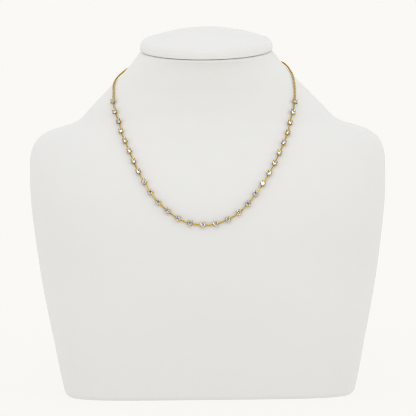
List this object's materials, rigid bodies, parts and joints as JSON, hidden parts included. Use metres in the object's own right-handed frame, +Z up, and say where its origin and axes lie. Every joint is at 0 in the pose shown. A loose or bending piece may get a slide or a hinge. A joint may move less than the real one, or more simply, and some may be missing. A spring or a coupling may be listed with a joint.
{
  "type": "tennis necklace on neck display bust",
  "caption": "Yellow metal necklace of claw-set round stones joined by short bars, closed by cable chains and a box clasp, laid on a plain white neck display bust.",
  "frame": {"origin": "middle of the bust's flat base, which is also the bottom centre of the bounding box", "axes": "+Z up, -Y towards the viewer (the bust's chest), +X to the viewer's right"},
  "size_m": [0.2302, 0.1129, 0.2357],
  "materials": {
    "bust_cover": "smooth matte white leatherette",
    "cap_cover": "smooth matte white leatherette",
    "yellow_gold": "polished yellow gold",
    "stone": "polished facets"
  },
  "bodies": {
    "root": {"bust_form": "bust_cover", "neck_cap": "cap_cover", "link_01": "yellow_gold", "link_02": "yellow_gold", "link_03": "yellow_gold", "link_04": "yellow_gold", "link_05": "yellow_gold", "link_06": "yellow_gold", "link_07": "yellow_gold", "link_08": "yellow_gold", "link_09": "yellow_gold", "link_10": "yellow_gold", "link_11": "yellow_gold", "link_12": "yellow_gold", "link_13": "yellow_gold", "link_14": "yellow_gold", "link_15": "yellow_gold", "link_16": "yellow_gold", "link_17": "yellow_gold", "link_18": "yellow_gold", "link_19": "yellow_gold", "link_20": "yellow_gold", "link_21": "yellow_gold", "link_22": "yellow_gold", "link_23": "yellow_gold", "link_24": "yellow_gold", "link_25": "yellow_gold", "link_26": "yellow_gold", "link_27": "yellow_gold", "link_28": "yellow_gold", "link_29": "yellow_gold", "stones": "stone", "chain_left": "yellow_gold", "chain_right": "yellow_gold", "clasp": "yellow_gold"}
  },
  "joints": []
}
